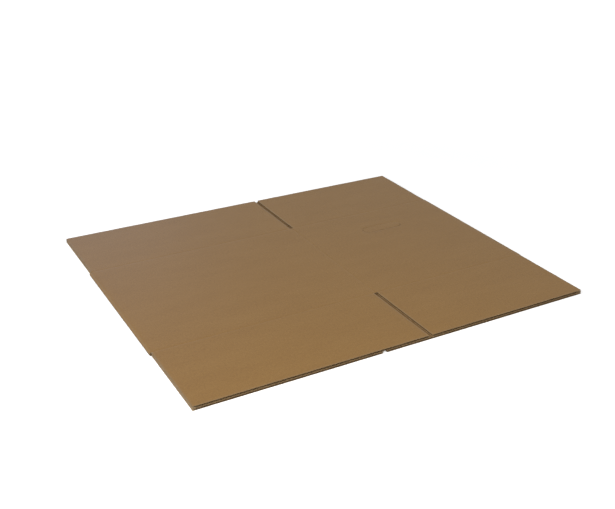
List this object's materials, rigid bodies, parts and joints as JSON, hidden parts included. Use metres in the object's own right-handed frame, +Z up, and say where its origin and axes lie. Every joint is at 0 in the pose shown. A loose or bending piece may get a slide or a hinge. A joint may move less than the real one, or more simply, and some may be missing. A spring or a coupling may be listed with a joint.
{
  "type": "flattened cardboard box",
  "caption": "Slotted carton of plain brown corrugated board, folded flat for storage, with upper flaps that turn up on their creases.",
  "frame": {"origin": "middle of the underside of the folded carton", "axes": "+X along the front edge to the right, the longest side; +Y from front to back, along the flutes; +Z up, through the two layers"},
  "size_m": [0.8, 0.686, 0.0081],
  "materials": {
    "kraft_board": "matt brown kraft"
  },
  "bodies": {
    "folded_carton": {"carton": "kraft_board"},
    "front_long": {"front_long_flap": "kraft_board"},
    "front_short": {"front_short_flap": "kraft_board"},
    "back_long": {"back_long_flap": "kraft_board"},
    "back_short": {"back_short_flap": "kraft_board"}
  },
  "joints": [
    {"name": "front_long_crease", "type": "hinge", "parent": "folded_carton", "child": "front_long", "pos_m": [-0.1765, -0.1665, 0.00805], "axis": [-1, 0, 0], "range_deg": [0, 150]},
    {"name": "front_short_crease", "type": "hinge", "parent": "folded_carton", "child": "front_short", "pos_m": [0.2235, -0.1665, 0.00805], "axis": [-1, 0, 0], "range_deg": [0, 150]},
    {"name": "back_long_crease", "type": "hinge", "parent": "folded_carton", "child": "back_long", "pos_m": [-0.1765, 0.1665, 0.00805], "axis": [1, 0, 0], "range_deg": [0, 150]},
    {"name": "back_short_crease", "type": "hinge", "parent": "folded_carton", "child": "back_short", "pos_m": [0.2235, 0.1665, 0.00805], "axis": [1, 0, 0], "range_deg": [0, 150]}
  ]
}
